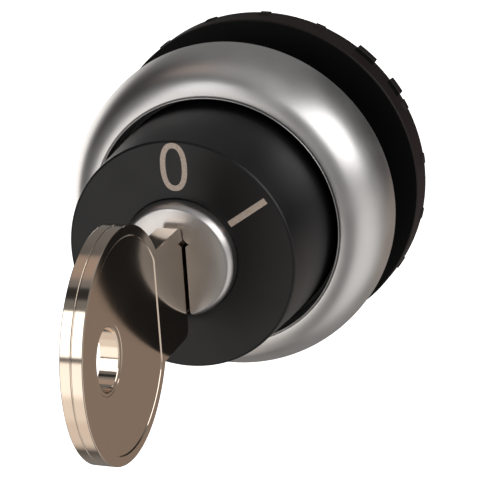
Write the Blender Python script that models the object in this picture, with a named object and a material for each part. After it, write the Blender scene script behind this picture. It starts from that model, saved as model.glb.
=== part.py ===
"""Key-operated selector switch actuator for a 22 mm panel hole.

The device's axis is Y.  The front faces -Y, +Z is up, and the origin is the
centre of the panel's front surface.  Sizes below are in millimetres; meshes
are written in metres.  Angles are clockwise from the top, seen from the front.
"""

import math

import bmesh
import bpy

MM = 0.001

# Panel hole and clamping
STEM_RADIUS = 11.0
GASKET_FRONT = -0.85
NUT_FRONT = 5.3
NUT_GRIP_START = 3.0
NUT_GRIP_HALF = 1.6
NUT_LUGS = [(base + 120.0 * turn, half) for turn in range(3) for base, half in ((41.5, 3.7), (56.0, 2.8))]

# Front ring
BEZEL_RADIUS = 14.85
BEZEL_BORE = 11.15
BEZEL_LIP_RADIUS = 11.3
BEZEL_LIP = -7.39
BEZEL_REAR = -0.9
DOME_POWER = 2.34

# Black collar with its front plate
PLATE_FRONT = -16.0
PLATE_RADIUS = 10.0
COLLAR_REAR = -4.05

# Lock cylinder
PLUG_RADIUS = 5.1
PLUG_NOSE_RADIUS = 4.9
PLUG_SHOULDER = -14.5
PLUG_FACE = -17.5
PLUG_REAR = 2.0
KEYWAY_HALF_WIDTH = 1.1
KEYWAY_TOP = 1.95
KEYWAY_BOTTOM = -6.0
KEYWAY_END = -0.6
WAFER_COUNT = 5
FIRST_WAFER = -11.5
WAFER_PITCH = 2.2
WAFER_THICKNESS = 0.9
WAFER_SLOT = 1.1
HOUSING_BORE = 5.2
HOUSING_RADIUS = 8.6
HOUSING_FRONT = -14.5
HOUSING_REAR = 3.0
CLIP_GROOVE = (-3.05, -2.15)

# Cam, tappets and rear guide
SWITCH_ANGLE = 60.0
TAPPET_TRAVEL = 2.7
RAMP_SLOPE = TAPPET_TRAVEL / math.radians(SWITCH_ANGLE)
RAMP_RADII = (4.7, 8.4)
RAMP_MARGIN = 20.0
RAMP_AT_TAPPET = 5.9
CAM_FRONT = 3.5
CAM_BASE = 4.9
CAM_FLOOR = 5.0
CAM_HUB_REAR = 7.0
TAIL_HALF = 2.2
TAPPET_RADIUS = 6.4
TAPPET_ANGLES = {"left": 270.0, "right": 90.0}
TAPPET_HALF_ANGLE = 15.0
TAPPET_GAP = 0.15
TAPPET_BACK = 8.4
TAPPET_END = 19.2
ROD_RADIUS = 1.4
GUIDE_FRONT = 15.0
GUIDE_REAR = 16.7
STEM_REAR = 19.5
STEM_BORE = 9.0

# Ball detent between housing and cam
DETENT_ANGLE = 225.0
DETENT_RADIUS = 6.9
BALL_RADIUS = 1.0
BALL_Y = 2.9
DETENT_HOLE_END = -1.9

# Key, in the plane X = 0
KEY_HALF_THICKNESS = 0.92
BOW_RADIUS = 8.86
BOW_OVAL = 0.4
BOW_LEAN = 81.0
BOW_CENTRE = (-30.55, -1.92)
BOW_CHORD = -23.1
KEY_HOLE_HALF_HEIGHT = 2.5
KEY_HOLE_HALF_LENGTH = 2.05
KEY_HOLE_CENTRE = (-34.05, -1.6)
KEY_RECESS = 0.07
NECK_TOP = 3.28
BLADE_TOP = 1.75
BLADE_BOTTOM = -3.4
KEY_TIP = -1.0
SHOULDER = (-17.7, -6.35)
SHOULDER_CORNER = 0.8
BOW_POINTS = 40


def clear_scene():
    for old in list(bpy.data.objects):
        bpy.data.objects.remove(old, do_unlink=True)


def material(name, colour, roughness, metallic=0.0):
    made = bpy.data.materials.new(name)
    made.use_nodes = True
    shader = made.node_tree.nodes["Principled BSDF"]
    shader.inputs["Base Color"].default_value = (*colour, 1.0)
    shader.inputs["Roughness"].default_value = roughness
    shader.inputs["Metallic"].default_value = metallic
    return made


def finish_mesh(name, mesh_builder, surface, origin=(0.0, 0.0, 0.0)):
    """Turn a closed bmesh in millimetres into an object whose origin is given."""
    bmesh.ops.recalc_face_normals(mesh_builder, faces=mesh_builder.faces)
    for vertex in mesh_builder.verts:
        vertex.co = [(value - start) * MM for value, start in zip(vertex.co, origin)]
    mesh = bpy.data.meshes.new(name)
    mesh_builder.to_mesh(mesh)
    mesh_builder.free()
    mesh.shade_smooth()
    mesh.set_sharp_from_angle(angle=math.radians(35))
    if surface is not None:
        mesh.materials.append(surface)
    made = bpy.data.objects.new(name, mesh)
    made.location = [value * MM for value in origin]
    bpy.context.collection.objects.link(made)
    return made


def as_cutter(shape):
    shape.hide_render = True
    shape.display_type = "WIRE"
    return shape


def boolean(target, other, operation):
    step = target.modifiers.new(other.name, "BOOLEAN")
    step.operation = operation
    step.solver = "EXACT"
    step.object = as_cutter(other)


def polar(radius, angle, y):
    turn = math.radians(angle)
    return (radius * math.sin(turn), y, radius * math.cos(turn))


def turned(name, profile, sides, surface):
    """Spin a closed profile of (radius, y) points about the Y axis."""
    builder = bmesh.new()
    points = [builder.verts.new((radius, y, 0.0)) for radius, y in profile]
    edges = []
    for start, end in zip(points, points[1:] + points[:1]):
        if start.co.x > 0.0 or end.co.x > 0.0:
            edges.append(builder.edges.new((start, end)))
    bmesh.ops.spin(
        builder,
        geom=points + edges,
        cent=(0.0, 0.0, 0.0),
        axis=(0.0, 1.0, 0.0),
        angle=math.tau,
        steps=sides,
        use_merge=True,
    )
    bmesh.ops.remove_doubles(builder, verts=builder.verts, dist=0.0005)
    return finish_mesh(name, builder, surface)


def bridge(builder, loop, other):
    count = len(loop)
    for index in range(count):
        after = (index + 1) % count
        builder.faces.new((loop[index], loop[after], other[after], other[index]))


def lofted(name, loops, surface, closed=False, origin=(0.0, 0.0, 0.0)):
    """Join matching loops of points; the ends are capped, or joined up if closed."""
    builder = bmesh.new()
    made = [[builder.verts.new(point) for point in loop] for loop in loops]
    for loop, other in zip(made, made[1:]):
        bridge(builder, loop, other)
    if closed:
        bridge(builder, made[-1], made[0])
    else:
        builder.faces.new(made[0])
        builder.faces.new(made[-1])
    return finish_mesh(name, builder, surface, origin)


def swept(name, angles, section, surface, closed=True, origin=(0.0, 0.0, 0.0)):
    """A ring whose (radius, y) section is a function of the angle."""
    loops = [[polar(radius, angle, y) for radius, y in section(angle)] for angle in angles]
    return lofted(name, loops, surface, closed, origin)


def prism(name, outline, y_start, y_end, surface=None):
    """An (x, z) outline extruded along Y."""
    loops = [[(x, y, z) for x, z in outline] for y in (y_start, y_end)]
    return lofted(name, loops, surface)


def circle(radius, sides, centre=(0.0, 0.0)):
    step = math.tau / sides
    return [
        (centre[0] + radius * math.sin(step * index), centre[1] + radius * math.cos(step * index))
        for index in range(sides)
    ]


def rectangle(x_start, x_end, z_start, z_end):
    return [(x_start, z_start), (x_end, z_start), (x_end, z_end), (x_start, z_end)]


def coil(name, radius, wire, turns, length, place, surface, steps=8, sides=4):
    """A compression spring of round wire; place maps (u, v, along) to a point."""
    loops = []
    total = int(turns * steps)
    rise = length - 2.0 * wire
    for index in range(total + 1):
        angle = math.tau * index / steps
        along = wire + rise * index / total
        ring = []
        for side in range(sides):
            turn = math.tau * side / sides
            reach = radius + wire * math.cos(turn)
            point = (reach * math.cos(angle), reach * math.sin(angle), along + wire * math.sin(turn))
            ring.append(place(*point))
        loops.append(ring)
    return lofted(name, loops, surface)


def evenly(start, end, count):
    return [start + (end - start) * index / count for index in range(count + 1)]


# ---------------------------------------------------------------- fixed front


def bezel_ring(surface):
    """Domed ring: a superellipse from the bore's lip to the widest edge."""
    power = 2.0 / DOME_POWER
    edge = BEZEL_REAR - 0.2
    profile = [(BEZEL_BORE, BEZEL_LIP + 0.3)]
    for turn in evenly(0.0, math.pi / 2.0, 9):
        radius = BEZEL_LIP_RADIUS + (BEZEL_RADIUS - BEZEL_LIP_RADIUS) * math.sin(turn) ** power
        y = edge - (edge - BEZEL_LIP) * max(math.cos(turn), 0.0) ** power
        profile.append((radius, y))
    profile += [(BEZEL_RADIUS - 0.15, BEZEL_REAR), (13.75, BEZEL_REAR), (13.75, -4.0)]
    profile += [(12.8, -4.0), (12.8, -5.15), (BEZEL_BORE, -5.15)]
    return turned("bezel_ring", profile, 60, surface)


def lock_collar(surface):
    profile = [(5.05, PLATE_FRONT + 0.1), (5.15, PLATE_FRONT), (PLATE_RADIUS - 0.2, PLATE_FRONT)]
    profile += [(PLATE_RADIUS, PLATE_FRONT + 0.15), (10.6, -8.2), (10.75, -5.05), (12.6, -5.05)]
    profile += [(12.6, COLLAR_REAR), (8.75, COLLAR_REAR), (8.75, -14.6), (5.05, -14.6)]
    return turned("lock_collar", profile, 48, surface)


def stem_body(surface):
    """Flanged stem with ring threads, a panel tab and two bayonet lugs."""
    profile = [(9.85, -3.95), (13.6, -3.95), (13.6, -0.95), (STEM_RADIUS, -0.95)]
    for groove in evenly(1.4, 10.1, 3):
        profile += [(STEM_RADIUS, groove), (10.5, groove + 0.4)]
        profile += [(10.5, groove + 1.0), (STEM_RADIUS, groove + 1.4)]
    profile += [(10.3, 12.6), (10.3, STEM_REAR), (8.3, STEM_REAR), (8.3, GUIDE_REAR + 0.05)]
    profile += [(STEM_BORE, GUIDE_REAR + 0.05), (STEM_BORE, -2.05), (9.85, -2.05)]
    stem = turned("stem_body", profile, 40, surface)
    tab = prism("stem_tab", rectangle(-1.45, 1.45, 10.0, 12.6), -1.6, 0.9)
    boolean(stem, tab, "UNION")
    for side in (-1.0, 1.0):
        x_ends = sorted((9.6 * side, 10.85 * side))
        lug = prism(f"stem_lug_{side:.0f}", rectangle(*x_ends, -2.0, 2.0), 16.3, 18.3)
        boolean(stem, lug, "UNION")
    return stem


def panel_gasket(surface):
    """Flat seal with a notch at the top for the stem's tab."""

    def section(angle):
        notch = min(angle, 360.0 - angle) < 8.1
        inner = 12.9 if notch else 11.35
        return [(inner, GASKET_FRONT), (14.2, GASKET_FRONT), (14.2, 0.0), (inner, 0.0)]

    angles = [0.0, 8.0] + evenly(8.2, 351.8, 38) + [352.0]
    return swept("panel_gasket", angles, section, surface)


# ------------------------------------------------------------------- locknut


def tooth_height(angle):
    """How far the nut's rim teeth stand out: small grips, and square spanner lugs in pairs."""
    for centre, half in NUT_LUGS:
        if abs(angle - centre) < half + 0.01:
            return 0.85
    if abs((angle - NUT_GRIP_START + 10.0) % 20.0 - 10.0) < NUT_GRIP_HALF + 0.01:
        return 0.6
    return 0.0


def tooth_angles():
    """Stations on both sides of every tooth flank, with plain ones between."""
    teeth = list(NUT_LUGS)
    for index in range(18):
        centre = NUT_GRIP_START + 20.0 * index
        if min(abs(centre - other) - half for other, half in NUT_LUGS) > NUT_GRIP_HALF + 0.8:
            teeth.append((centre, NUT_GRIP_HALF))
    flanks = []
    for centre, half in teeth:
        flanks += [centre - half - 0.3, centre - half, centre + half, centre + half + 0.3]
    plain = [angle for angle in evenly(8.0, 358.0, 50) if min(abs(angle - f) for f in flanks) > 2.0]
    return sorted(flanks + plain)


def locknut(surface):
    """Flanged ring nut; its teeth stand on the rear edge of the rim's band."""

    def section(angle):
        tooth = 15.0 + tooth_height(angle)
        rear = NUT_FRONT + 4.5
        return [
            (11.1, NUT_FRONT + 0.4),
            (11.5, NUT_FRONT),
            (15.2, NUT_FRONT),
            (15.4, NUT_FRONT + 0.25),
            (15.47, NUT_FRONT + 1.9),
            (max(tooth, 15.48), NUT_FRONT + 2.0),
            (max(tooth, 15.5), NUT_FRONT + 2.9),
            (tooth, NUT_FRONT + 3.2),
            (14.9, NUT_FRONT + 3.25),
            (14.9, rear),
            (11.5, rear),
            (11.1, rear - 0.4),
        ]

    return swept("locknut", tooth_angles(), section, surface)


# ------------------------------------------------------------- lock cylinder


def lock_housing(surface):
    """Fixed barrel with wafer channels above and below the bore."""
    start, end = CLIP_GROOVE
    profile = [(HOUSING_BORE, HOUSING_FRONT), (HOUSING_RADIUS, HOUSING_FRONT)]
    profile += [(HOUSING_RADIUS, start), (8.05, start), (8.05, end), (HOUSING_RADIUS, end)]
    profile += [(HOUSING_RADIUS, HOUSING_REAR), (HOUSING_BORE, HOUSING_REAR)]
    housing = turned("lock_housing", profile, 48, surface)
    channel = prism("wafer_channel", rectangle(-2.7, 2.7, -6.7, 6.7), -12.7, -1.5)
    boolean(housing, channel, "DIFFERENCE")
    x, _, z = polar(DETENT_RADIUS, DETENT_ANGLE, 0.0)
    hole = prism("detent_hole", circle(BALL_RADIUS + 0.15, 16, (x, z)), DETENT_HOLE_END, 4.0)
    boolean(housing, hole, "DIFFERENCE")
    return housing


def housing_clip(surface):
    """Open ring that holds the barrel in the stem."""
    front = CLIP_GROOVE[0] + 0.05
    rear = CLIP_GROOVE[1] - 0.05
    section = [(8.15, front), (9.7, front), (9.7, rear), (8.15, rear)]
    return swept("housing_clip", evenly(20.0, 340.0, 30), lambda _: section, surface, closed=False)


def wafer_places():
    return [FIRST_WAFER + WAFER_PITCH * index for index in range(WAFER_COUNT)]


def lock_plug(surface):
    """Turned cylinder with keyway, wafer slots, seal groove and square tail."""
    nose = PLUG_NOSE_RADIUS
    profile = [(0.0, PLUG_FACE), (4.6, PLUG_FACE), (nose + 0.07, PLUG_FACE + 0.35)]
    profile += [(nose, PLUG_FACE + 0.6), (nose, PLUG_SHOULDER), (PLUG_RADIUS, PLUG_SHOULDER)]
    profile += [(PLUG_RADIUS, -13.95), (4.35, -13.95), (4.35, -12.95), (PLUG_RADIUS, -12.95)]
    profile += [(PLUG_RADIUS, PLUG_REAR), (0.0, PLUG_REAR)]
    plug = turned("lock_plug", profile, 48, surface)
    tail_outline = rectangle(-TAIL_HALF, TAIL_HALF, -TAIL_HALF, TAIL_HALF)
    boolean(plug, prism("plug_tail", tail_outline, PLUG_REAR - 1.0, 8.6), "UNION")
    groove = turned("tail_groove", [(1.9, 7.05), (4.0, 7.05), (4.0, 7.65), (1.9, 7.65)], 24, None)
    boolean(plug, groove, "DIFFERENCE")
    keyway_outline = rectangle(-KEYWAY_HALF_WIDTH, KEYWAY_HALF_WIDTH, KEYWAY_BOTTOM, KEYWAY_TOP)
    boolean(plug, prism("keyway", keyway_outline, PLUG_FACE - 1.0, KEYWAY_END), "DIFFERENCE")
    barb = [(-1.4, 1.65), (-0.9, 2.05), (0.9, 2.05), (1.4, 1.65), (0.9, 1.25), (-0.9, 1.25)]
    boolean(plug, prism("keyway_barb", barb, PLUG_FACE - 1.0, -16.8), "DIFFERENCE")
    flare = [(-1.82, -5.6), (1.82, -5.6), (1.0, -4.2), (-1.0, -4.2)]
    boolean(plug, prism("keyway_flare", flare, PLUG_FACE - 1.0, -16.7), "DIFFERENCE")
    slot = [(-2.4, -6.0), (2.4, -6.0), (2.4, -2.9), (4.1, -2.9)]
    slot += [(4.1, 2.4), (2.4, 2.4), (2.4, 6.0), (-2.4, 6.0)]
    for index, y in enumerate(wafer_places()):
        cutter = prism(f"wafer_slot_{index + 1}", slot, y - WAFER_SLOT / 2.0, y + WAFER_SLOT / 2.0)
        boolean(plug, cutter, "DIFFERENCE")
    return plug


def wafer_outline():
    """Flat sides, round ends, and an ear for the spring on the right."""
    half = math.asin(2.3 / 4.9)
    top = [(4.9 * math.sin(turn), 4.9 * math.cos(turn)) for turn in evenly(-half, half, 6)]
    bottom = [(x, -z) for x, z in reversed(top)]
    ear = [(2.3, -2.1), (3.9, -2.1), (3.9, -2.7), (2.3, -2.7)]
    return top + ear + bottom


def wafers(brass):
    outline = wafer_outline()
    window = prism("wafer_window", rectangle(-1.15, 1.15, -3.6, KEYWAY_TOP), -13.0, -1.0)
    for index, y in enumerate(wafer_places()):
        half = WAFER_THICKNESS / 2.0
        wafer = prism(f"wafer_{index + 1}", outline, y - half, y + half, brass)
        boolean(wafer, window, "DIFFERENCE")


def wafer_springs(steel):
    for index, y in enumerate(wafer_places()):

        def upright(u, v, along, at=y):
            return (3.25 + u, at + v, -2.05 + along)

        coil(f"wafer_spring_{index + 1}", 0.35, 0.12, 5.0, 4.4, upright, steel, steps=6)


def plug_o_ring(surface):
    profile = [(4.78 + x, -13.45 + y) for x, y in circle(0.38, 8)]
    return turned("plug_o_ring", profile, 32, surface)


# --------------------------------------------------------- cam and tappets


def ramp_height(angle):
    """Height of the cam's helical face: it drops clockwise across each tappet."""
    for centre in TAPPET_ANGLES.values():
        if centre - SWITCH_ANGLE - RAMP_MARGIN <= angle <= centre + RAMP_MARGIN:
            return RAMP_AT_TAPPET + RAMP_SLOPE * math.radians(centre - angle)
    return CAM_FLOOR


def track_depth(angle):
    """Ball track in the cam's front face, with a deeper seat at each end."""
    seats = (DETENT_ANGLE, DETENT_ANGLE - SWITCH_ANGLE)
    if min(abs(angle - seat) for seat in seats) < 5.0:
        return 0.8
    return 0.6 if seats[1] - 14.0 < angle < seats[0] + 14.0 else 0.0


def drive_cam(surface):
    def section(angle):
        turn = math.radians(angle)
        bore = (TAIL_HALF + 0.1) / max(abs(math.cos(turn)), abs(math.sin(turn)))
        height = ramp_height(angle)
        floor = CAM_FRONT + track_depth(angle)
        inner, outer = RAMP_RADII
        return [
            (bore, CAM_FRONT),
            (DETENT_RADIUS - 1.05, CAM_FRONT),
            (DETENT_RADIUS - 0.5, floor),
            (DETENT_RADIUS + 0.5, floor),
            (DETENT_RADIUS + 1.05, CAM_FRONT),
            (outer, CAM_FRONT),
            (outer, height),
            (inner, height),
            (inner, CAM_BASE),
            (4.0, CAM_BASE),
            (4.0, CAM_HUB_REAR),
            (bore, CAM_HUB_REAR),
        ]

    angles = evenly(0.0, 354.0, 59)
    for centre in TAPPET_ANGLES.values():
        angles += [centre - SWITCH_ANGLE - RAMP_MARGIN - 0.4, centre + RAMP_MARGIN + 0.4]
    return swept("drive_cam", sorted(angles), section, surface)


def cam_retaining_ring(surface):
    section = [(2.0, 7.1), (3.9, 7.1), (3.9, 7.6), (2.0, 7.6)]
    angles = evenly(225.0, 495.0, 24)
    return swept("cam_retaining_ring", angles, lambda _: section, surface, closed=False)


def tappet(side, surface):
    """Plunger whose foot carries the same helix as the cam face it rides on."""
    centre = TAPPET_ANGLES[side]
    x, _, z = polar(TAPPET_RADIUS, centre, 0.0)
    axis = (x, 0.0, 0.0)

    def section(angle):
        front = RAMP_AT_TAPPET + TAPPET_GAP + RAMP_SLOPE * math.radians(centre - angle)
        return [(4.9, front), (8.2, front), (8.2, TAPPET_BACK), (4.9, TAPPET_BACK)]

    angles = evenly(centre - TAPPET_HALF_ANGLE, centre + TAPPET_HALF_ANGLE, 6)
    foot = swept(f"tappet_{side}", angles, section, surface, closed=False, origin=axis)
    rod = prism(f"tappet_rod_{side}", circle(ROD_RADIUS, 16, (x, z)), 7.4, TAPPET_END)
    boolean(foot, rod, "UNION")
    return foot


def tappet_spring(side, surface):
    x = polar(TAPPET_RADIUS, TAPPET_ANGLES[side], 0.0)[0]

    def lengthwise(u, v, along):
        return (x + u, TAPPET_BACK + 0.05 + along, v)

    length = GUIDE_FRONT - TAPPET_BACK - 0.1
    return coil(f"tappet_spring_{side}", 1.85, 0.2, 6.0, length, lengthwise, surface)


def rear_guide_plate(surface):
    plate = prism("rear_guide_plate", circle(8.85, 40), GUIDE_FRONT, GUIDE_REAR, surface)
    for side, centre in TAPPET_ANGLES.items():
        x = polar(TAPPET_RADIUS, centre, 0.0)[0]
        hole = circle(ROD_RADIUS + 0.2, 16, (x, 0.0))
        boolean(plate, prism(f"guide_hole_{side}", hole, 14.0, 18.0), "DIFFERENCE")
    middle = prism("guide_hole_middle", circle(2.5, 24), 14.0, 18.0)
    boolean(plate, middle, "DIFFERENCE")
    return plate


def detent_ball(surface):
    builder = bmesh.new()
    bmesh.ops.create_uvsphere(builder, u_segments=14, v_segments=8, radius=BALL_RADIUS)
    centre = polar(DETENT_RADIUS, DETENT_ANGLE, BALL_Y)
    bmesh.ops.translate(builder, verts=builder.verts, vec=centre)
    return finish_mesh("detent_ball", builder, surface)


def detent_spring(surface):
    x, _, z = polar(DETENT_RADIUS, DETENT_ANGLE, 0.0)
    start = DETENT_HOLE_END + 0.05

    def lengthwise(u, v, along):
        return (x + u, start + along, z + v)

    length = BALL_Y - BALL_RADIUS - 0.05 - start
    return coil("detent_spring", 0.72, 0.14, 4.0, length, lengthwise, surface)


# ----------------------------------------------------------------------- key


def bow_outline(inset, count=BOW_POINTS):
    """The bow is an oval, a little taller than long, cut by a chord where the neck joins it."""
    outline = []
    for index in range(count):
        angle = math.tau * (index + 0.5) / count
        lean = 2.0 * (angle - math.radians(BOW_LEAN))
        reach = BOW_RADIUS - inset + BOW_OVAL * math.cos(lean)
        if math.cos(angle) > 0.0:
            reach = min(reach, (BOW_CHORD - inset - BOW_CENTRE[0]) / math.cos(angle))
        outline.append((BOW_CENTRE[0] + reach * math.cos(angle), BOW_CENTRE[1] + reach * math.sin(angle)))
    return outline


def hole_outline(border):
    """Oval ring hole, its border wider at the front and back than above and below."""
    y, z = KEY_HOLE_CENTRE
    along = KEY_HOLE_HALF_LENGTH + 1.8 * border
    up = KEY_HOLE_HALF_HEIGHT + border
    turns = [math.tau * (index + 0.5) / BOW_POINTS for index in range(BOW_POINTS)]
    return [(y + along * math.cos(turn), z + up * math.sin(turn)) for turn in turns]


def bitted_edge(level, inward):
    """One edge of the blade from the wafers to the tip, with a cut at each wafer."""
    edge = []
    for index, y in enumerate(wafer_places()):
        depth = inward * (0.5, 0.9, 0.3, 0.7, 0.5)[index]
        edge += [(y - 0.9, level), (y - 0.4, level + depth), (y + 0.4, level + depth), (y + 0.9, level)]
    edge[-1] = (edge[-1][0], level + inward * 0.6)
    return edge + [(KEY_TIP, level + inward * 1.6)]


def shank_outline():
    """Neck, stop shoulder and blade with cuts on both edges, as (y, z) points."""
    upper = bitted_edge(BLADE_TOP, -1.0)
    lower = bitted_edge(BLADE_BOTTOM, 1.0)[::-1]
    stop, bottom = SHOULDER
    centre = (stop - SHOULDER_CORNER, bottom + SHOULDER_CORNER)
    corner = []
    for turn in evenly(math.pi / 2.0, 0.0, 5):
        reach = (SHOULDER_CORNER * math.sin(turn), -SHOULDER_CORNER * math.cos(turn))
        corner.append((centre[0] + reach[0], centre[1] + reach[1]))
    step = [(-16.0, BLADE_BOTTOM), (-16.4, -4.3), (stop, -4.3)]
    start = [(BOW_CHORD - 0.8, bottom), (BOW_CHORD - 0.8, NECK_TOP)]
    nose = [(-18.3, NECK_TOP), (-17.95, 3.08), (-17.7, 2.6), (-17.55, BLADE_TOP + 0.1), (-17.45, BLADE_TOP)]
    return upper + lower + step + corner + start + nose


def key(surface):
    """Round bow with a raised rim and a ring hole, on a double-bitted blade."""
    face = KEY_HALF_THICKNESS
    floor = face - KEY_RECESS
    half = [
        (0.08, bow_outline(0.0)),
        (face - 0.07, bow_outline(0.0)),
        (face, bow_outline(0.07)),
        (face, bow_outline(0.8)),
        (floor, bow_outline(0.9)),
        (floor, hole_outline(0.3)),
        (floor - 0.06, hole_outline(0.0)),
    ]
    layers = [(-x, outline) for x, outline in reversed(half)] + [(0.0, bow_outline(0.05))] + half
    loops = [[(x, y, z) for y, z in outline] for x, outline in layers]
    bow = lofted("key", loops, surface, closed=True)
    shank_loops = [[(x, y, z) for y, z in shank_outline()] for x in (-face, face)]
    shank = lofted("key_shank", shank_loops, None)
    boolean(bow, shank, "UNION")
    return bow


def build():
    clear_scene()
    chrome = material("satin_chrome", (0.62, 0.60, 0.59), 0.28, 1.0)
    black = material("black_plastic", (0.018, 0.018, 0.020), 0.45)
    nut_black = material("nut_plastic", (0.035, 0.030, 0.030), 0.5)
    rubber = material("black_rubber", (0.012, 0.012, 0.012), 0.7)
    nickel = material("satin_nickel", (0.45, 0.42, 0.40), 0.35, 1.0)
    key_nickel = material("key_nickel", (0.60, 0.53, 0.46), 0.18, 1.0)
    zinc = material("cast_zinc", (0.40, 0.40, 0.42), 0.5, 1.0)
    brass = material("wafer_brass", (0.70, 0.52, 0.22), 0.35, 1.0)
    steel = material("spring_steel", (0.50, 0.50, 0.52), 0.3, 1.0)
    cream = material("tappet_plastic", (0.55, 0.52, 0.45), 0.45)
    bezel_ring(chrome)
    lock_collar(black)
    stem_body(black)
    panel_gasket(rubber)
    locknut(nut_black)
    lock_housing(zinc)
    housing_clip(steel)
    lock_plug(nickel)
    wafers(brass)
    wafer_springs(steel)
    plug_o_ring(rubber)
    drive_cam(cream)
    cam_retaining_ring(steel)
    for side in TAPPET_ANGLES:
        tappet(side, cream)
        tappet_spring(side, steel)
    rear_guide_plate(black)
    detent_ball(steel)
    detent_spring(steel)
    key(key_nickel)


build()
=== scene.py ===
"""Looks for the key-operated selector switch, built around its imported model.

The device's axis is Y.  The front faces -Y, +Z is up, and the origin is the
centre of the panel's front surface.  Sizes are in millimetres unless a name
says otherwise; meshes are written in metres.  Angles are clockwise from the
top, seen from the front.
"""

import math

import bmesh
import bpy
from mathutils import Matrix, Vector


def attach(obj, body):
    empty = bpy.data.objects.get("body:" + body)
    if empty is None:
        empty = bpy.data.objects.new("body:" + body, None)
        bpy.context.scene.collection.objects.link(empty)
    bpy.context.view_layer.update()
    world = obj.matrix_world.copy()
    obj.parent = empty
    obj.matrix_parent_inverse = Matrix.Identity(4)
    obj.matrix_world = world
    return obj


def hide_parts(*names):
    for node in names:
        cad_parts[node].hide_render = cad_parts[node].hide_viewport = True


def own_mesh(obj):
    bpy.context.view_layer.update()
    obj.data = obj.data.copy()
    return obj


MM = 0.001
SIDES = 256
MIRROR = (-1.0, 1.0)

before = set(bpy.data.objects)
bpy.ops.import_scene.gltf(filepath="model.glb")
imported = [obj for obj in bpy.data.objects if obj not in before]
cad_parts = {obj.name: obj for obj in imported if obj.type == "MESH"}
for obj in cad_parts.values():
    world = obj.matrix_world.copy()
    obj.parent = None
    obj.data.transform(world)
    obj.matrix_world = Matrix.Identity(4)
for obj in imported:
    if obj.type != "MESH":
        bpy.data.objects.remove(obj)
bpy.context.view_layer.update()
scene = bpy.context.scene


# ------------------------------------------------------------------ meshes


def evenly(start, end, count):
    return [start + (end - start) * index / count for index in range(count + 1)]


def polar(radius, angle, y):
    turn = math.radians(angle)
    return (radius * math.sin(turn), y, radius * math.cos(turn))


def circle(radius, sides, centre=(0.0, 0.0)):
    step = math.tau / sides
    return [
        (centre[0] + radius * math.sin(step * index), centre[1] + radius * math.cos(step * index))
        for index in range(sides)
    ]


def rectangle(x_start, x_end, z_start, z_end):
    return [(x_start, z_start), (x_end, z_start), (x_end, z_end), (x_start, z_end)]


def rounded(outline, radius, steps=4):
    """Replace every corner of a closed outline by a small arc."""
    result = []
    count = len(outline)
    for index, corner in enumerate(outline):
        here = Vector(corner)
        before = Vector(outline[index - 1]) - here
        after = Vector(outline[(index + 1) % count]) - here
        reach = min(radius, before.length * 0.4, after.length * 0.4)
        start = here + before.normalized() * reach
        end = here + after.normalized() * reach
        for share in evenly(0.0, 1.0, steps):
            low = start.lerp(here, share)
            high = here.lerp(end, share)
            result.append(tuple(low.lerp(high, share)))
    return result


def settle(name, builder, sharp=40.0):
    """Turn a closed bmesh in millimetres into an object at the origin."""
    bmesh.ops.recalc_face_normals(builder, faces=builder.faces)
    bmesh.ops.scale(builder, vec=(MM, MM, MM), verts=builder.verts)
    mesh = bpy.data.meshes.new(name)
    builder.to_mesh(mesh)
    builder.free()
    mesh.shade_smooth()
    mesh.set_sharp_from_angle(angle=math.radians(sharp))
    made = bpy.data.objects.new(name, mesh)
    scene.collection.objects.link(made)
    return made


def bridge(builder, loop, other):
    count = len(loop)
    for index in range(count):
        after = (index + 1) % count
        builder.faces.new((loop[index], loop[after], other[after], other[index]))


def lofted(name, loops, closed=False, sharp=40.0):
    """Join matching loops of points; the ends are capped, or joined up if closed."""
    builder = bmesh.new()
    made = [[builder.verts.new(point) for point in loop] for loop in loops]
    for loop, other in zip(made, made[1:]):
        bridge(builder, loop, other)
    if closed:
        bridge(builder, made[-1], made[0])
    else:
        builder.faces.new(made[0])
        builder.faces.new(made[-1])
    return settle(name, builder, sharp)


def swept(name, angles, section, closed=True, sharp=40.0):
    """A ring whose (radius, y) section is a function of the angle."""
    loops = [[polar(radius, angle, y) for radius, y in section(angle)] for angle in angles]
    return lofted(name, loops, closed, sharp)


def ring_angles(sides=SIDES):
    return evenly(0.0, 360.0, sides)[:-1]


def turned(name, outline, sides=SIDES, sharp=40.0):
    """A ring with the same (radius, y) section all round."""
    return swept(name, ring_angles(sides), lambda _: outline, sharp=sharp)


def solid_turned(name, outline, sides=SIDES):
    """A turned body whose (radius, y) outline starts and ends on the axis."""
    builder = bmesh.new()
    first = builder.verts.new((0.0, outline[0][1], 0.0))
    last = builder.verts.new((0.0, outline[-1][1], 0.0))
    rings = [
        [builder.verts.new(polar(radius, angle, y)) for angle in ring_angles(sides)]
        for radius, y in outline[1:-1]
    ]
    for ring, other in zip(rings, rings[1:]):
        bridge(builder, ring, other)
    for index in range(sides):
        after = (index + 1) % sides
        builder.faces.new((rings[0][index], rings[0][after], first))
        builder.faces.new((rings[-1][index], rings[-1][after], last))
    return settle(name, builder)


def prism(name, outline, y_start, y_end):
    """An (x, z) outline extruded along Y."""
    return lofted(name, [[(x, y, z) for x, z in outline] for y in (y_start, y_end)])


def coil(name, radius, wire, turns, length, place):
    """A compression spring of round wire; its end turns lie close together."""
    steps, sides = 40, 14
    loops = []
    total = int(turns * steps)
    rise = length - 2.0 * wire
    for index in range(total + 1):
        angle = math.tau * index / steps
        share = index / total
        along = wire + rise * (share - math.sin(math.tau * share) / (2.0 * math.tau))
        ring = []
        for side in range(sides):
            turn = math.tau * side / sides
            reach = radius + wire * math.cos(turn)
            height = along + wire * math.sin(turn)
            ring.append(place(reach * math.cos(angle), reach * math.sin(angle), height))
        loops.append(ring)
    return lofted(name, loops)


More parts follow.
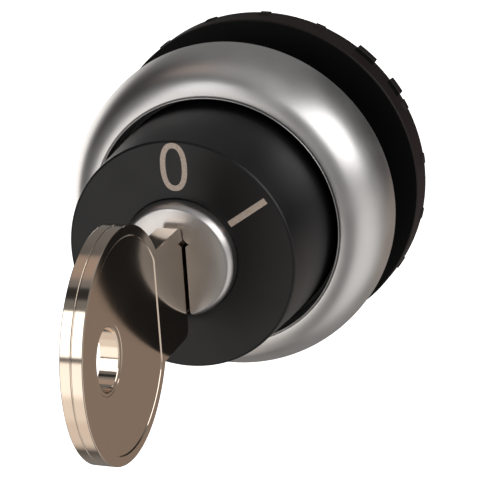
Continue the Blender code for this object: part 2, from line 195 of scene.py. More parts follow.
def cut(target, other, operation="DIFFERENCE"):
    """Boolean target with other, which is used up."""
    step = target.modifiers.new(other.name, "BOOLEAN")
    step.operation = operation
    step.solver = "EXACT"
    step.object = other
    apply_modifiers(target)
    bpy.data.objects.remove(other, do_unlink=True)


def apply_modifiers(target):
    bpy.context.view_layer.update()
    view = target.evaluated_get(bpy.context.evaluated_depsgraph_get())
    mesh = bpy.data.meshes.new_from_object(view)
    target.modifiers.clear()
    target.data = mesh


def soften(target, width):
    """Small rounded edges, in millimetres, with the flat faces kept flat."""
    step = target.modifiers.new("edges", "BEVEL")
    step.width = width * MM
    step.segments = 2
    step.limit_method = "ANGLE"
    step.angle_limit = math.radians(35.0)
    step.use_clamp_overlap = True
    apply_modifiers(target)
    weigh(target)


def weigh(target):
    target.data.shade_smooth()
    step = target.modifiers.new("normals", "WEIGHTED_NORMAL")
    step.keep_sharp = True
    step.weight = 100
    apply_modifiers(target)


def crisp(target, angle):
    """Faces square to X stay flat; elsewhere only edges blunter than the angle are smooth."""
    mesh = target.data
    stored = mesh.attributes.get("custom_normal")
    if stored is not None:
        mesh.attributes.remove(stored)
    mesh.shade_smooth()
    mesh.set_sharp_from_angle(angle=math.radians(angle))
    for face in mesh.polygons:
        face.use_smooth = abs(face.normal.x) < 0.9999


# --------------------------------------------------------------- materials


class Finish:
    """A node material on object coordinates in millimetres."""

    def __init__(self, name, colour, roughness, metallic=0.0):
        self.material = bpy.data.materials.new(name)
        self.material.use_nodes = True
        self.nodes = self.material.node_tree.nodes
        self.links = self.material.node_tree.links
        self.shader = self.nodes["Principled BSDF"]
        self.shader.inputs["Metallic"].default_value = metallic
        self.colour = colour
        self.shader.inputs["Base Color"].default_value = (*colour, 1.0)
        self.shader.inputs["Roughness"].default_value = roughness
        coordinates = self.nodes.new("ShaderNodeTexCoord")
        self.place = coordinates.outputs["Object"]

    def set(self, socket, value):
        self.shader.inputs[socket].default_value = value
        return self

    def noise(self, size, detail=2.0, stretch=(1.0, 1.0, 1.0)):
        """Noise whose grains are about size millimetres across."""
        mapping = self.nodes.new("ShaderNodeMapping")
        scales = [1.0 / (MM * size * share) for share in stretch]
        mapping.inputs["Scale"].default_value = scales
        texture = self.nodes.new("ShaderNodeTexNoise")
        texture.inputs["Scale"].default_value = 1.0
        texture.inputs["Detail"].default_value = detail
        self.links.new(self.place, mapping.inputs["Vector"])
        self.links.new(mapping.outputs["Vector"], texture.inputs["Vector"])
        return texture.outputs["Fac"]

    def spread(self, source, low, high):
        """Noise around its middle, mapped to low and high."""
        step = self.nodes.new("ShaderNodeMapRange")
        step.inputs["From Min"].default_value = 0.3
        step.inputs["From Max"].default_value = 0.7
        step.inputs["To Min"].default_value = low
        step.inputs["To Max"].default_value = high
        self.links.new(source, step.inputs["Value"])
        return step.outputs["Result"]

    def rough(self, source, low, high):
        self.links.new(self.spread(source, low, high), self.shader.inputs["Roughness"])
        return self

    def tint(self, source, low, high):
        """Colour varies between low and high times the base colour."""
        mix = self.nodes.new("ShaderNodeMix")
        mix.data_type = "RGBA"
        mix.inputs[6].default_value = (*[value * low for value in self.colour], 1.0)
        mix.inputs[7].default_value = (*[value * high for value in self.colour], 1.0)
        self.links.new(self.spread(source, 0.0, 1.0), mix.inputs[0])
        self.links.new(mix.outputs[2], self.shader.inputs["Base Color"])
        return self

    def bump(self, source, height):
        """Relief whose height is in millimetres."""
        step = self.nodes.new("ShaderNodeBump")
        step.inputs["Strength"].default_value = 1.0
        step.inputs["Distance"].default_value = height * MM
        self.links.new(source, step.inputs["Height"])
        self.links.new(step.outputs["Normal"], self.shader.inputs["Normal"])
        return self


def metal(name, colour, rough, grain, height, stretch=(1.0, 1.0, 1.0)):
    """Metal with fine grain in its roughness, colour and relief."""
    finish = Finish(name, colour, rough[0], 1.0)
    fine = finish.noise(grain, 3.0, stretch)
    broad = finish.noise(grain * 30.0, 3.0, stretch)
    finish.rough(broad, *rough).tint(broad, 0.97, 1.03).bump(fine, height)
    return finish.material


def plastic(name, colour, rough, grain, height, specular=0.5):
    """Moulded plastic with a fine matte texture."""
    finish = Finish(name, colour, rough[0])
    finish.set("Specular IOR Level", specular)
    fine = finish.noise(grain, 2.0)
    broad = finish.noise(4.0, 4.0)
    finish.rough(broad, *rough).tint(fine, 0.85, 1.15).bump(fine, height)
    return finish.material


CHROME = metal("satin_chrome_finish", (0.74, 0.725, 0.715), (0.34, 0.38), 0.09, 0.0009)
BLACK = plastic("matte_black_plastic", (0.0034, 0.0032, 0.0042), (0.36, 0.42), 0.16, 0.003, 0.42)
NUT_BLACK = plastic("nut_black_plastic", (0.016, 0.010, 0.0095), (0.5, 0.6), 0.3, 0.004, 0.2)
# Stem black is also used as painted shade on the ring nut's front-facing faces.
STEM_BLACK_AND_NUT_SHADE = plastic("stem_black_plastic_and_nut_painted_shade", (0.003, 0.003, 0.003), (0.5, 0.6), 0.3, 0.004, 0.12)
RUBBER = plastic("seal_rubber", (0.006, 0.006, 0.006), (0.65, 0.8), 0.1, 0.004, 0.2)
NICKEL = metal("satin_nickel_finish", (0.68, 0.655, 0.64), (0.31, 0.37), 0.1, 0.0012)
KEY_METAL = metal("key_nickel_finish", (0.77, 0.65, 0.54), (0.07, 0.12), 0.25, 0.0006)
ZINC = metal("cast_zinc_finish", (0.40, 0.40, 0.42), (0.42, 0.58), 0.2, 0.004)
BRASS = metal("rolled_brass_finish", (0.70, 0.52, 0.22), (0.25, 0.4), 0.08, 0.001, (8.0, 1.0, 1.0))
STEEL = metal("drawn_steel_finish", (0.50, 0.50, 0.52), (0.22, 0.34), 0.06, 0.0008)
CREAM = plastic("acetal_plastic", (0.55, 0.52, 0.45), (0.38, 0.48), 0.2, 0.003)
PRINT = plastic("beige_print", (0.62, 0.50, 0.42), (0.5, 0.6), 0.12, 0.003)

CAD_FINISHES = {
    "lock_housing": ZINC,
    "housing_clip": STEEL,
    "detent_ball": STEEL,
    "detent_spring": STEEL,
    "plug_o_ring": RUBBER,
    "drive_cam": CREAM,
    "cam_retaining_ring": STEEL,
    **{f"wafer_{index}": BRASS for index in range(1, 6)},
    **{f"wafer_spring_{index}": STEEL for index in range(1, 6)},
}


def dress(piece, material, body, replaced=()):
    """Give a piece its material and body, and hide the CAD nodes it stands for."""
    if material is not None:
        piece.data.materials.clear()
        piece.data.materials.append(material)
    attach(piece, body)
    if replaced:
        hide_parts(*replaced)


# -------------------------------------------------------------- front parts

RING_BORE_RADIUS = 11.15
RING_RADIUS = 14.85
PLATE_FRONT = -16.0
PLATE_BACK = -14.6
PLATE_RADIUS = 10.0
PLUG_HOLE_RADIUS = 5.06
SHROUD_RADIUS = 10.75
SHROUD_BORE_RADIUS = 8.75
FLANGE_RADIUS = 12.6
FLANGE_FRONT = -5.05
FLANGE_BACK = -4.05
MARK_FRONT = PLATE_FRONT - 0.012
MARK_BACK = PLATE_FRONT + 0.03
ZERO_HALF_WIDTH = 1.17
ZERO_HALF_HEIGHT = 2.05
ZERO_STROKE = 0.46
ZERO_HEIGHT = 7.8
ZERO_POWER = 0.86
BAR_ANGLE = 56.0
BAR_HALF_WIDTH = 0.275
BAR_START = 5.45
BAR_END = 9.35


def dome_ring():
    """Satin ring: a superellipse dome from the bore's lip to the widest edge."""
    power = 2.0 / 2.34
    lip_radius, lip = 11.3, -7.39
    widest, edge = RING_RADIUS, -1.1
    outline = []
    for turn in evenly(0.0, math.pi / 2.0, 64):
        radius = lip_radius + (widest - lip_radius) * math.sin(turn) ** power
        y = edge - (edge - lip) * max(math.cos(turn), 0.0) ** power
        outline.append((radius, y))
    inner = [(RING_RADIUS - 0.15, -0.9), (13.75, -0.9), (13.75, -4.0)]
    inner += [(12.8, -4.0), (12.8, -5.15)]
    inner += [(RING_BORE_RADIUS, -5.15), (RING_BORE_RADIUS, -7.2)]
    corners = rounded([outline[-1], *inner, outline[0]], 0.08, 3)
    return turned("ring_dome", outline[1:-1] + corners, 320, 50.0)


def front_collar():
    """Tapered black shroud with its flat front plate."""
    corner = 0.15
    outline = [(PLUG_HOLE_RADIUS, PLATE_FRONT), (PLATE_RADIUS - corner, PLATE_FRONT)]
    outline += [(PLATE_RADIUS, PLATE_FRONT + corner), (10.6, -8.2), (SHROUD_RADIUS, FLANGE_FRONT)]
    outline += [(FLANGE_RADIUS, FLANGE_FRONT), (FLANGE_RADIUS, FLANGE_BACK)]
    outline += [(SHROUD_BORE_RADIUS, FLANGE_BACK), (SHROUD_BORE_RADIUS, PLATE_BACK)]
    outline.append((PLUG_HOLE_RADIUS, PLATE_BACK))
    collar = turned("front_collar", rounded(outline, 0.12, 4), 256, 50.0)
    weigh(collar)
    return collar


def zero_mark():
    """The numeral 0 above the plug, a thin oval band."""

    def bulge(value):
        return math.copysign(abs(value) ** ZERO_POWER, value)

    def oval(turn, inset, y):
        across = (ZERO_HALF_WIDTH - inset) * bulge(math.sin(turn))
        along = (ZERO_HALF_HEIGHT - inset) * bulge(math.cos(turn))
        return across, y, ZERO_HEIGHT + along

    section = rectangle(0.0, ZERO_STROKE, MARK_FRONT, MARK_BACK)
    turns = evenly(0.0, math.tau, 96)[:-1]
    loops = [[oval(turn, inset, y) for inset, y in section] for turn in turns]
    return lofted("mark_zero", loops, closed=True)


def bar_mark():
    """The bar at the switched position."""
    turn = math.radians(BAR_ANGLE)
    outline = rounded(rectangle(-BAR_HALF_WIDTH, BAR_HALF_WIDTH, BAR_START, BAR_END), 0.05, 2)
    loops = []
    for y in (MARK_FRONT, MARK_BACK):
        loop = []
        for across, along in outline:
            x = across * math.cos(turn) + along * math.sin(turn)
            z = -across * math.sin(turn) + along * math.cos(turn)
            loop.append((x, y, z))
        loops.append(loop)
    return lofted("mark_bar", loops)


# --------------------------------------------------------------------- plug

PLUG_FRONT = -17.5
PLUG_SHOULDER = -14.5
PLUG_BACK = 2.0
NOSE_RADIUS = 5.02
PLUG_RADIUS = 5.1
SEAL_GROOVE_RADIUS = 4.35
SEAL_GROOVE_FRONT = -13.95
SEAL_GROOVE_BACK = -12.95
TAIL_HALF = 2.2
TAIL_END = 8.6
KEYWAY_HALF = 1.1
KEYWAY_TOP = 1.95
KEYWAY_BOTTOM = -6.0
WAFER_COUNT = 5
FIRST_WAFER = -11.5
WAFER_PITCH = 2.2
WAFER_SLOT_HALF = 0.55


def wafer_places():
    return [FIRST_WAFER + WAFER_PITCH * index for index in range(WAFER_COUNT)]


def plug_outline():
    """Face, rounded rim, nose, seal groove and barrel of the lock cylinder."""
    face = [(0.0, PLUG_FRONT), (4.5, PLUG_FRONT)]
    rim = [(4.62, -17.46), (4.72, -17.38), (4.95, -17.02), (5.0, -16.86), (NOSE_RADIUS, -16.6)]
    shoulder = [(NOSE_RADIUS, PLUG_SHOULDER), (PLUG_RADIUS, PLUG_SHOULDER)]
    groove = [(PLUG_RADIUS, SEAL_GROOVE_FRONT), (SEAL_GROOVE_RADIUS, SEAL_GROOVE_FRONT)]
    groove += [(SEAL_GROOVE_RADIUS, SEAL_GROOVE_BACK), (PLUG_RADIUS, SEAL_GROOVE_BACK)]
    return face + rim + shoulder + groove + [(PLUG_RADIUS, PLUG_BACK), (0.0, PLUG_BACK)]


def key_plug():
    """Lock cylinder: rounded face, keyway, wafer slots, seal groove, square tail."""
    plug = solid_turned("key_plug", plug_outline(), 192)
    tail = rectangle(-TAIL_HALF, TAIL_HALF, -TAIL_HALF, TAIL_HALF)
    cut(plug, prism("tail", tail, PLUG_BACK - 1.0, TAIL_END), "UNION")
    groove = [(1.9, 7.05), (4.0, 7.05), (4.0, 7.65), (1.9, 7.65)]
    cut(plug, turned("tail_groove", groove, 64))
    before = PLUG_FRONT - 1.0
    keyway = rectangle(-KEYWAY_HALF, KEYWAY_HALF, KEYWAY_BOTTOM, KEYWAY_TOP)
    cut(plug, prism("keyway", keyway, before, -0.6))
    barb = [(-1.4, 1.65), (-0.9, 2.05), (0.9, 2.05), (1.4, 1.65), (0.9, 1.25), (-0.9, 1.25)]
    cut(plug, prism("keyway_barb", barb, before, -16.8))
    flare = [(-1.82, -5.6), (1.82, -5.6), (1.0, -4.2), (-1.0, -4.2)]
    cut(plug, prism("keyway_flare", flare, before, -16.7))
    slot = [(-2.4, -6.0), (2.4, -6.0), (2.4, -2.9), (4.1, -2.9)]
    slot += [(4.1, 2.4), (2.4, 2.4), (2.4, 6.0), (-2.4, 6.0)]
    for y in wafer_places():
        cut(plug, prism("wafer_slot", slot, y - WAFER_SLOT_HALF, y + WAFER_SLOT_HALF))
    soften(plug, 0.045)
    return plug


# ---------------------------------------------------------------------- key

KEY_HALF = 0.92
KEY_RECESS = 0.07
BOW_CENTRE = (-30.55, -1.92)
BOW_RADIUS = 8.86
BOW_OVAL = 0.4
BOW_TILT = 81.0
BOW_CHORD = -23.1
BOW_POINTS = 240
HOLE_CENTRE = (-34.05, -1.6)
HOLE_HALF_LENGTH = 2.05
HOLE_HALF_HEIGHT = 2.5
NECK_START = -23.9
NECK_TOP = 3.28
SHOULDER = (-17.7, -6.35)
SHOULDER_CORNER = 0.8
SHOULDER_STEP = -4.3
BLADE_TOP = 1.75
BLADE_BOTTOM = -3.4
KEY_TIP = -1.0
CUT_DEPTHS = (0.5, 0.9, 0.3, 0.7, 0.5)


def bow_turns():
    return [math.tau * (index + 0.5) / BOW_POINTS for index in range(BOW_POINTS)]


def bow_outline(inset):
    """Slightly oval bow, cut off straight where the neck begins, as (y, z) points."""
    middle, height = BOW_CENTRE
    outline = []
    for turn in bow_turns():
        reach = BOW_RADIUS - inset + BOW_OVAL * math.cos(2.0 * (turn - math.radians(BOW_TILT)))
        if math.cos(turn) > 0.0:
            reach = min(reach, (BOW_CHORD - inset - middle) / math.cos(turn))
        outline.append((middle + reach * math.cos(turn), height + reach * math.sin(turn)))
    return outline


def hole_outline(border):
    """Oval ring hole, its border wider at the front and back than above and below."""
    y, z = HOLE_CENTRE
    along = HOLE_HALF_LENGTH + 1.8 * border
    up = HOLE_HALF_HEIGHT + border
    return [(y + along * math.cos(turn), z + up * math.sin(turn)) for turn in bow_turns()]


def bitted_edge(level, inward):
    """One edge of the blade from the wafers to the tip, with a cut at each wafer."""
    edge = []
    for y, cut_depth in zip(wafer_places(), CUT_DEPTHS):
        low = level + inward * cut_depth
        edge += [(y - 0.9, level), (y - 0.4, low), (y + 0.4, low), (y + 0.9, level)]
    edge[-1] = (edge[-1][0], level + inward * 0.6)
    return edge + [(KEY_TIP, level + inward * 1.6)]


def shank_outline():
    """Neck, stop shoulder and blade with cuts on both edges, as (y, z) points."""
    stop, bottom = SHOULDER
    corner = []
    for turn in evenly(math.pi / 2.0, 0.0, 10):
        y = stop - SHOULDER_CORNER * (1.0 - math.sin(turn))
        corner.append((y, bottom + SHOULDER_CORNER * (1.0 - math.cos(turn))))
    step = [(-16.0, BLADE_BOTTOM), (-16.4, SHOULDER_STEP), (stop, SHOULDER_STEP)]
    start = [(NECK_START, bottom), (NECK_START, NECK_TOP)]
    nose = [(-18.3, NECK_TOP), (-18.1, 3.2), (-17.95, 3.05), (-17.8, 2.8), (-17.7, 2.5)]
    nose += [(-17.55, BLADE_TOP + 0.1), (-17.45, BLADE_TOP)]
    upper = bitted_edge(BLADE_TOP, -1.0)
    lower = bitted_edge(BLADE_BOTTOM, 1.0)[::-1]
    return upper + lower + step + corner + start + nose


def door_key():
    """Oval bow with a raised rim and a ring hole, on a double-bitted blade."""
    face = KEY_HALF
    recessed = face - KEY_RECESS
    edge = [(0.02, 0.05), (0.05, 0.01), (0.08, 0.0), (face - 0.07, 0.0), (face - 0.02, 0.02)]
    edge += [(face, 0.07)]
    rim = [(face, 0.76), (face - 0.015, 0.80), (recessed + 0.015, 0.84), (recessed, 0.88)]
    dish = [(0.0, 0.3), (0.025, 0.27), (0.035, 0.2), (0.05, 0.06), (0.07, 0.03), (0.12, 0.0)]
    half = [(x, bow_outline(inset)) for x, inset in edge + rim]
    half += [(recessed - depth, hole_outline(border)) for depth, border in dish]
    layers = [(-x, outline) for x, outline in reversed(half)] + half
    loops = [[(x, y, z) for y, z in outline] for x, outline in layers]
    bow = lofted("door_key", loops, closed=True)
    shank = lofted("shank", [[(x, y, z) for y, z in shank_outline()] for x in (-face, face)])
    soften(shank, 0.05)
    cut(bow, shank, "UNION")
    crisp(bow, 15.0)
    return bow


# ------------------------------------------------------------------ locknut

NUT_FRONT = 5.3
NUT_DEPTH = 4.5
NUT_BORE_RADIUS = 11.1
NUT_BAND_RADIUS = 15.4
NUT_REAR_RADIUS = 14.9
TOOTH_FOOT_RADIUS = 15.0
TOOTH_FLANK = 0.35
LUG_HEIGHT = 0.85
TOOTH_HEIGHT = 0.6


def nut_teeth():
    """(centre, half width, height) of the rim teeth, in degrees and millimetres."""
    lugs = []
    for third in (0.0, 120.0, 240.0):
        lugs += [(41.5 + third, 3.7), (56.0 + third, 2.8)]
    teeth = [(centre, half, LUG_HEIGHT) for centre, half in lugs]
    for index in range(18):
        centre = 3.0 + 20.0 * index
        if min(abs(centre - other) - half for other, half in lugs) > 2.4:
            teeth.append((centre, 1.6, TOOTH_HEIGHT))
    return teeth


def nut_angles(teeth):
    """Every degree, and the corners of each tooth's flanks."""
    angles = set(evenly(0.0, 360.0, 360)[:-1])
    for centre, half, _ in teeth:
        for inset in (-TOOTH_FLANK, -0.18, 0.0, 0.2):
            for side in MIRROR:
                angles.add(round(centre + side * (half - inset), 3) % 360.0)
    ordered = sorted(angles)
    return [ordered[0]] + [b for a, b in zip(ordered, ordered[1:]) if b - a > 0.02]


def ring_nut():
    """Flanged ring nut; its teeth stand on the rear edge of the rim's band."""
    teeth = nut_teeth()

    def section(angle):
        height = 0.0
        for centre, half, tall in teeth:
            over = (abs(angle - centre) - half) / TOOTH_FLANK
            height = max(height, tall * min(1.0, max(0.0, 1.0 - over)))
        tooth = TOOTH_FOOT_RADIUS + height
        outline = [
            (NUT_BORE_RADIUS, 0.4),
            (11.5, 0.0),
            (15.1, 0.0),
            (15.3, 0.06),
            (NUT_BAND_RADIUS, 0.25),
            (15.47, 1.9),
            (max(tooth - 0.06, 15.47), 2.0),
            (max(tooth, 15.48), 2.08),
            (max(tooth, 15.5), 2.9),
            (max(tooth - 0.08, TOOTH_FOOT_RADIUS), 3.15),
            (14.92, 3.25),
            (NUT_REAR_RADIUS, 3.35),
            (NUT_REAR_RADIUS, NUT_DEPTH - 0.1),
            (14.8, NUT_DEPTH),
            (11.5, NUT_DEPTH),
            (NUT_BORE_RADIUS, NUT_DEPTH - 0.4),
        ]
        return [(radius, NUT_FRONT + depth) for radius, depth in outline]

    nut = swept("ring_nut", nut_angles(teeth), section, sharp=25.0)
    nut.data.materials.append(NUT_BLACK)
    nut.data.materials.append(STEM_BLACK_AND_NUT_SHADE)
    # Painted shade: faces turned to the front take the darker stem black instead of the nut's own
    # plastic, to darken the gap behind the ring.
    for face in nut.data.polygons:
        face.material_index = 1 if face.normal.y < -0.9 else 0
    return nut


# ------------------------------------------------------------ stem and seal

STEM_RADIUS = 11.0
STEM_BORE_RADIUS = 9.0
STEM_END = 19.5
ADAPTER_RADIUS = 10.3
SEAT_RADIUS = 8.3
THREAD_PITCH = 2.9
THREAD_DEPTH = 0.5
THREAD_START = 0.6
THREAD_END = 12.4
TAB_HALF_WIDTH = 1.45
TAB_TOP = 12.6
SEAL_INNER_RADIUS = 11.35
SEAL_OUTER_RADIUS = 14.2
SEAL_FRONT = -0.85
LIP_RADII = (13.35, 13.85)


def thread_depth(y, angle):
    """Depth of the helical groove, which fades out at both ends of the thread."""
    place = (y - 1.4 - THREAD_PITCH * angle / 360.0) % THREAD_PITCH
    fade = min(1.0, max(0.0, (y - THREAD_START) / 0.8), max(0.0, (THREAD_END - y) / 0.6))
    depth = min(place / 0.4, 1.0, max(0.0, (1.4 - place) / 0.4))
    return THREAD_DEPTH * max(0.0, depth) * fade


def threaded_stem():
    """Flanged stem with a helical thread, a panel tab and two bayonet lugs."""
    rows = evenly(THREAD_START, THREAD_END, 84)
    flange = [(9.85, -3.9), (9.9, -3.95), (13.5, -3.95), (13.6, -3.85), (13.6, -1.0)]
    flange += [(13.55, -0.95), (STEM_RADIUS, -0.95)]
    adapter = [(10.35, 12.6), (ADAPTER_RADIUS, 12.7), (ADAPTER_RADIUS, 19.4), (10.2, STEM_END)]
    adapter += [(8.4, STEM_END), (SEAT_RADIUS, 19.4), (SEAT_RADIUS, 16.75)]
    bore = [(STEM_BORE_RADIUS, 16.75), (STEM_BORE_RADIUS, -2.05), (9.85, -2.05)]

    def section(angle):
        thread = [(STEM_RADIUS - thread_depth(y, angle), y) for y in rows]
        return flange + thread + adapter + bore

    stem = swept("threaded_stem", ring_angles(160), section, sharp=30.0)
    tab = rounded(rectangle(-TAB_HALF_WIDTH, TAB_HALF_WIDTH, 10.0, TAB_TOP), 0.12, 3)
    cut(stem, prism("tab", tab, -1.6, 0.9), "UNION")
    for side in MIRROR:
        x_ends = sorted((9.6 * side, 10.85 * side))
        lug = prism("lug", rounded(rectangle(*x_ends, -2.0, 2.0), 0.15, 3), 16.3, 18.3)
        cut(stem, lug, "UNION")
    return stem


def seal():
    """Flat rubber seal with two fine lips and a notch for the tab."""

    def section(angle):
        notched = min(angle, 360.0 - angle) < 8.1
        inner = 12.9 if notched else SEAL_INNER_RADIUS
        outline = [(inner, SEAL_FRONT)]
        for middle in LIP_RADII:
            outline += [(middle - 0.16, SEAL_FRONT), (middle - 0.08, SEAL_FRONT + 0.06)]
            outline += [(middle + 0.08, SEAL_FRONT + 0.06), (middle + 0.16, SEAL_FRONT)]
        corner = SEAL_OUTER_RADIUS - 0.05
        outline += [(corner, SEAL_FRONT), (SEAL_OUTER_RADIUS, SEAL_FRONT + 0.05)]
        return outline + [(SEAL_OUTER_RADIUS, -0.05), (corner, 0.0), (inner, 0.0)]

    angles = [0.0, 4.0, 8.0] + evenly(8.2, 351.8, 200) + [352.0, 356.0]
    return swept("seal_ring", angles, section, sharp=30.0)


# ------------------------------------------------------ rear guide, tappets

TAPPET_SIDES = {"left": 270.0, "right": 90.0}
TAPPET_RADIUS = 6.4
TAPPET_TRAVEL = 2.7
TURN_ANGLE = 60.0
FOOT_FRONT = 6.05
FOOT_BACK = 8.4
FOOT_HALF_ANGLE = 15.0
ROD_RADIUS = 1.4
ROD_START = 7.4
ROD_END = 19.2
GUIDE_FRONT = 15.0
GUIDE_BACK = 16.7
GUIDE_RADIUS = 8.85
SPRING_RADIUS = 1.85
SPRING_WIRE = 0.2
SPRING_TURNS = 6.0
SPRING_FRONT = 8.45
SPRING_LENGTH = 6.5


def tappet_x(side):
    return polar(TAPPET_RADIUS, TAPPET_SIDES[side], 0.0)[0]


def rear_plate():
    """Round plate that guides the tappets' rods."""
    plate = prism("rear_plate", circle(GUIDE_RADIUS, 160), GUIDE_FRONT, GUIDE_BACK)
    before, behind = GUIDE_FRONT - 1.0, GUIDE_BACK + 1.3
    for side in TAPPET_SIDES:
        hole = circle(ROD_RADIUS + 0.2, 48, (tappet_x(side), 0.0))
        cut(plate, prism("hole", hole, before, behind))
    cut(plate, prism("hole", circle(2.5, 64), before, behind))
    recess = [(3.3, 16.4), (4.2, 16.4), (4.2, 17.0), (3.3, 17.0)]
    cut(plate, turned("recess", recess, 96))
    soften(plate, 0.08)
    return plate


def plunger(side):
    """Foot with the cam's helix and a rod with a rounded end."""
    centre = TAPPET_SIDES[side]
    slope = TAPPET_TRAVEL / math.radians(TURN_ANGLE)

    def section(angle):
        front = FOOT_FRONT + slope * math.radians(centre - angle)
        return rounded([(4.9, front), (8.2, front), (8.2, FOOT_BACK), (4.9, FOOT_BACK)], 0.12, 2)

    angles = evenly(centre - FOOT_HALF_ANGLE, centre + FOOT_HALF_ANGLE, 24)
    foot = swept(f"plunger_{side}", angles, section, closed=False)
    outline = [(0.0, ROD_START), (ROD_RADIUS, ROD_START), (ROD_RADIUS, ROD_END - 0.25)]
    outline += [(1.33, ROD_END - 0.08), (1.15, ROD_END), (0.0, ROD_END)]
    rod = solid_turned("rod", outline, 64)
    rod.data.transform(Matrix.Translation((tappet_x(side) * MM, 0.0, 0.0)))
    cut(foot, rod, "UNION")
    return foot


def return_spring(side):
    x = tappet_x(side)

    def place(u, v, along):
        return (x + u, SPRING_FRONT + along, v)

    name = f"return_spring_{side}"
    return coil(name, SPRING_RADIUS, SPRING_WIRE, SPRING_TURNS, SPRING_LENGTH, place)


def build_pieces():
    """Finish the inner CAD nodes, then add the detailed pieces on their bodies."""
    for node, finish in CAD_FINISHES.items():
        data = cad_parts[node].data
        data.materials.clear()
        data.materials.append(finish)
        data.shade_smooth()
        data.set_sharp_from_angle(angle=math.radians(30.0))

    dress(dome_ring(), CHROME, "housing", ["bezel_ring"])
    dress(front_collar(), BLACK, "housing", ["lock_collar"])
    dress(zero_mark(), PRINT, "housing")
    dress(bar_mark(), PRINT, "housing")
    dress(key_plug(), NICKEL, "lock_rotor", ["lock_plug"])
    dress(door_key(), KEY_METAL, "key", ["key"])
    dress(ring_nut(), None, "locknut", ["locknut"])
    dress(threaded_stem(), STEM_BLACK_AND_NUT_SHADE, "housing", ["stem_body"])
    dress(seal(), RUBBER, "housing", ["panel_gasket"])
    dress(rear_plate(), STEM_BLACK_AND_NUT_SHADE, "housing", ["rear_guide_plate"])
    for side in TAPPET_SIDES:
        dress(plunger(side), CREAM, f"tappet_{side}", [f"tappet_{side}"])
        spring = return_spring(side)
        dress(spring, STEEL, "housing", [f"tappet_spring_{side}"])
        anchor = (tappet_x(side) * MM, (SPRING_FRONT + SPRING_LENGTH) * MM, 0.0)
        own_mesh(spring)


# ------------------------------------------------------------- surroundings

LIGHT_TARGET = Vector((0.0, -0.01, 0.0))
FLOOR_LEVEL = -0.12
FLOOR_HALF_SIZE = 2500.0

# Colours of the room below and above the horizon, then the cards and dark
# gaps around the object, later ones in front of earlier ones: azimuth,
# elevation, start and end of the soft edge in degrees, colour.
BELOW = (0.24, 0.235, 0.23)
ABOVE = (0.20, 0.20, 0.20)
PATCHES = (
    (0, 90, 12, 32, (0.34, 0.34, 0.34)),
    (88, -36, 12, 50, (0.80, 0.78, 0.76)),
    (-150, -65, 20, 45, (0.10, 0.10, 0.10)),
    (180, -60, 15, 35, (0.25, 0.24, 0.23)),
    (161, -19, 10, 24, (0.27, 0.22, 0.185)),
    (-170, 30, 20, 50, (0.18, 0.18, 0.18)),
    (152, 11, 16, 28, (0.02, 0.02, 0.02)),
    (-60, 5, 12, 34, (0.12, 0.12, 0.12)),
    (-98, 30, 20, 42, (0.03, 0.03, 0.03)),
    (-128, -14, 18, 32, (1.60, 1.55, 1.50)),
    (-58, -52, 12, 28, (0.84, 0.76, 0.70)),
    (-28, -36, 8, 17, (0.98, 0.92, 0.85)),
    (-21, -12, 11, 19, (1.46, 1.42, 1.38)),
    (-95, 63, 8, 17, (0.42, 0.34, 0.30)),
    (-44, 54, 4, 7, (0.03, 0.03, 0.03)),
    (-25, 4, 2, 4.5, (0.05, 0.05, 0.05)),
)


def direction(azimuth, elevation):
    """Unit vector; azimuth 0 is the front, 90 the right, 180 behind."""
    turn, rise = math.radians(azimuth), math.radians(elevation)
    level = math.cos(rise)
    return Vector((math.sin(turn) * level, -math.cos(turn) * level, math.sin(rise)))


def soft_light(name, azimuth, elevation, distance, width, height, radiance):
    """A rectangular soft box aimed at the object, with sizes in metres."""
    data = bpy.data.lights.new(name, "AREA")
    data.shape = "RECTANGLE"
    data.size = width
    data.size_y = height
    data.energy = radiance * math.pi * width * height
    lamp = bpy.data.objects.new(name, data)
    aim = direction(azimuth, elevation)
    lamp.location = aim * distance + LIGHT_TARGET
    lamp.rotation_euler = aim.to_track_quat("Z", "Y").to_euler()
    scene.collection.objects.link(lamp)


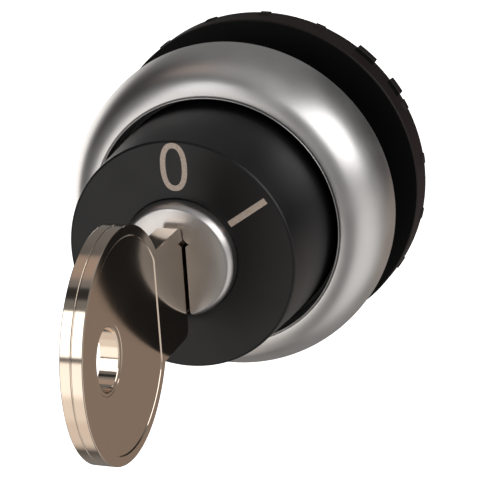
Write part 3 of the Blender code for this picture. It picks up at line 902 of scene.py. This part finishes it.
def studio_world():
    """Soft studio surroundings, seen only in the object; the camera sees white."""
    world = bpy.data.worlds.new("studio")
    scene.world = world
    world.use_nodes = True
    nodes, links = world.node_tree.nodes, world.node_tree.links
    background = nodes["Background"]
    coordinates = nodes.new("ShaderNodeTexCoord").outputs["Generated"]

    def facing(azimuth, elevation, start, end):
        """1 inside a soft round patch, 0 outside; its edge runs from start to end degrees."""
        dot = nodes.new("ShaderNodeVectorMath")
        dot.operation = "DOT_PRODUCT"
        dot.inputs[1].default_value = direction(azimuth, elevation)
        links.new(coordinates, dot.inputs[0])
        step = nodes.new("ShaderNodeMapRange")
        step.interpolation_type = "SMOOTHSTEP"
        step.inputs["From Min"].default_value = math.cos(math.radians(end))
        step.inputs["From Max"].default_value = math.cos(math.radians(start))
        links.new(dot.outputs["Value"], step.inputs["Value"])
        return step.outputs["Result"]

    def blend(factor, below, above):
        mix = nodes.new("ShaderNodeMix")
        mix.data_type = "RGBA"
        links.new(factor, mix.inputs[0])
        for socket, value in ((mix.inputs[6], below), (mix.inputs[7], above)):
            if isinstance(value, tuple):
                socket.default_value = (*value, 1.0)
            else:
                links.new(value, socket)
        return mix.outputs[2]

    colour = blend(facing(0, 90, 85, 95), BELOW, ABOVE)
    for azimuth, elevation, start, end, value in PATCHES:
        colour = blend(facing(azimuth, elevation, start, end), colour, value)
    camera_ray = nodes.new("ShaderNodeLightPath").outputs["Is Camera Ray"]
    links.new(blend(camera_ray, colour, (1.0, 1.0, 1.0)), background.inputs["Color"])


def floor():
    """Plain white floor, far enough below for no shadow to show."""
    builder = bmesh.new()
    bmesh.ops.create_grid(builder, x_segments=8, y_segments=8, size=FLOOR_HALF_SIZE)
    plane = settle("floor", builder)
    plane.location.z = FLOOR_LEVEL
    finish = Finish("white_floor", (0.9, 0.9, 0.9), 0.9)
    finish.tint(finish.noise(200.0), 0.99, 1.01)
    finish.set("Emission Color", (1.0, 1.0, 1.0, 1.0)).set("Emission Strength", 1.2)
    plane.data.materials.append(finish.material)
    plane.visible_glossy = False
    plane.visible_diffuse = False


def camera():
    """Right of and above the axis, looking back at the front."""
    right = Vector((0.9477, 0.3130, -0.0600))
    up = Vector((-0.0494, 0.3303, 0.9426))
    place = Vector((0.0492773, -0.1402, 0.0475673))
    data = bpy.data.cameras.new("camera")
    data.lens = 127.5
    data.sensor_width = 36.0
    data.clip_start = 0.005
    data.clip_end = 20.0
    made = bpy.data.objects.new("camera", data)
    back = right.cross(up).normalized()
    up = back.cross(right).normalized()
    turn = Matrix((right.normalized(), up, back)).transposed().to_4x4()
    made.matrix_world = Matrix.Translation(place) @ turn
    scene.collection.objects.link(made)
    scene.camera = made


build_pieces()
studio_world()
floor()
camera()
soft_light("right_box", 76, 33, distance=0.5, width=0.68, height=0.31, radiance=2.2)
soft_light("front_left_strip", -23, 22, distance=0.45, width=0.12, height=0.28, radiance=1.9)
scene.view_settings.view_transform = "Standard"
